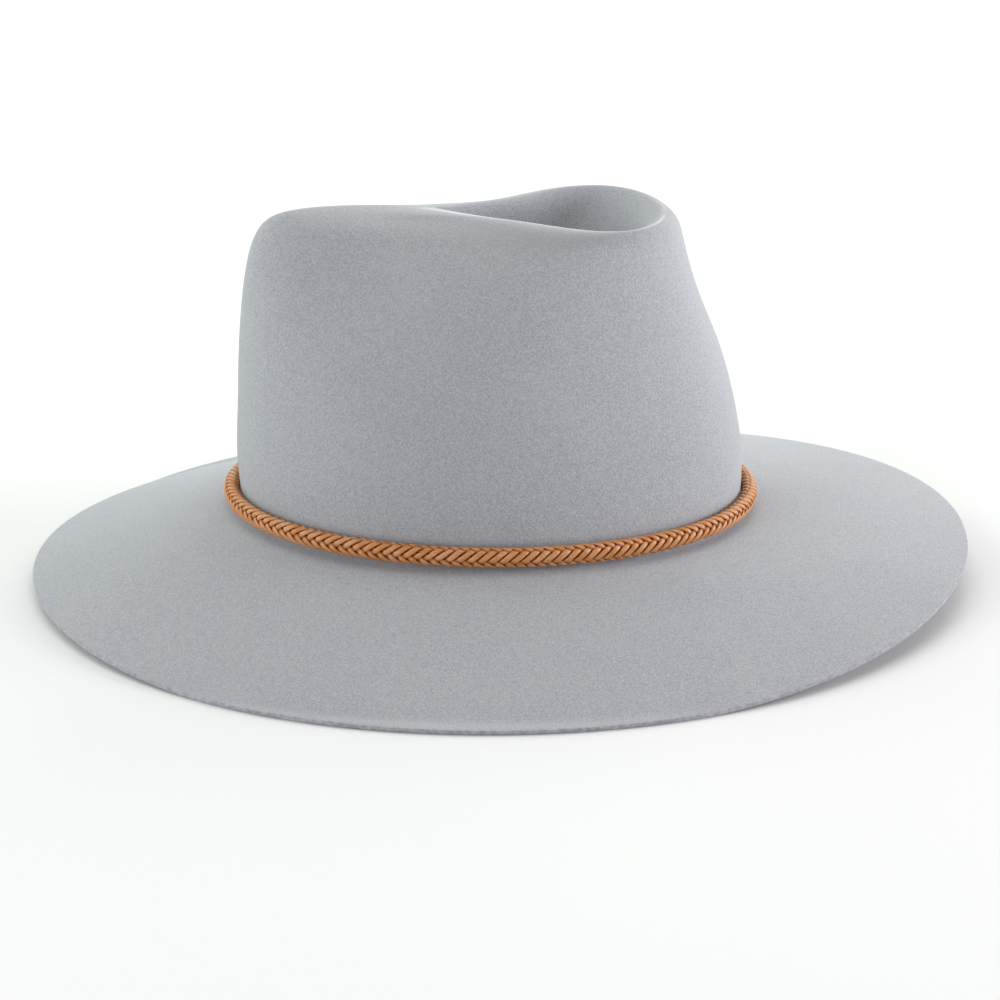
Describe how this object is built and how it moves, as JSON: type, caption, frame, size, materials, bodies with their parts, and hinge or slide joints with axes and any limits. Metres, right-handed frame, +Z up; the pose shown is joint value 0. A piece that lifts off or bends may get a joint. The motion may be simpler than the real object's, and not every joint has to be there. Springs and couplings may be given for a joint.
{
  "type": "flat brim fedora",
  "caption": "Stiff felt fedora with a wide, nearly flat brim, a pinched teardrop crown and a round braided leather band at its foot.",
  "frame": {"origin": "on the floor under the middle of the brim, which rests on Z = 0 as the hat lies by itself", "axes": "+Z up, -Y the way the wearer looks, +X the wearer's left"},
  "size_m": [0.356, 0.38, 0.1517],
  "materials": {
    "felt": "matte brushed felt",
    "braided_leather": "lightly waxed",
    "sleeve_leather": "lightly waxed"
  },
  "bodies": {
    "root": {"felt_hat": "felt", "braid_band": "braided_leather", "band_sleeve": "sleeve_leather"}
  },
  "joints": []
}
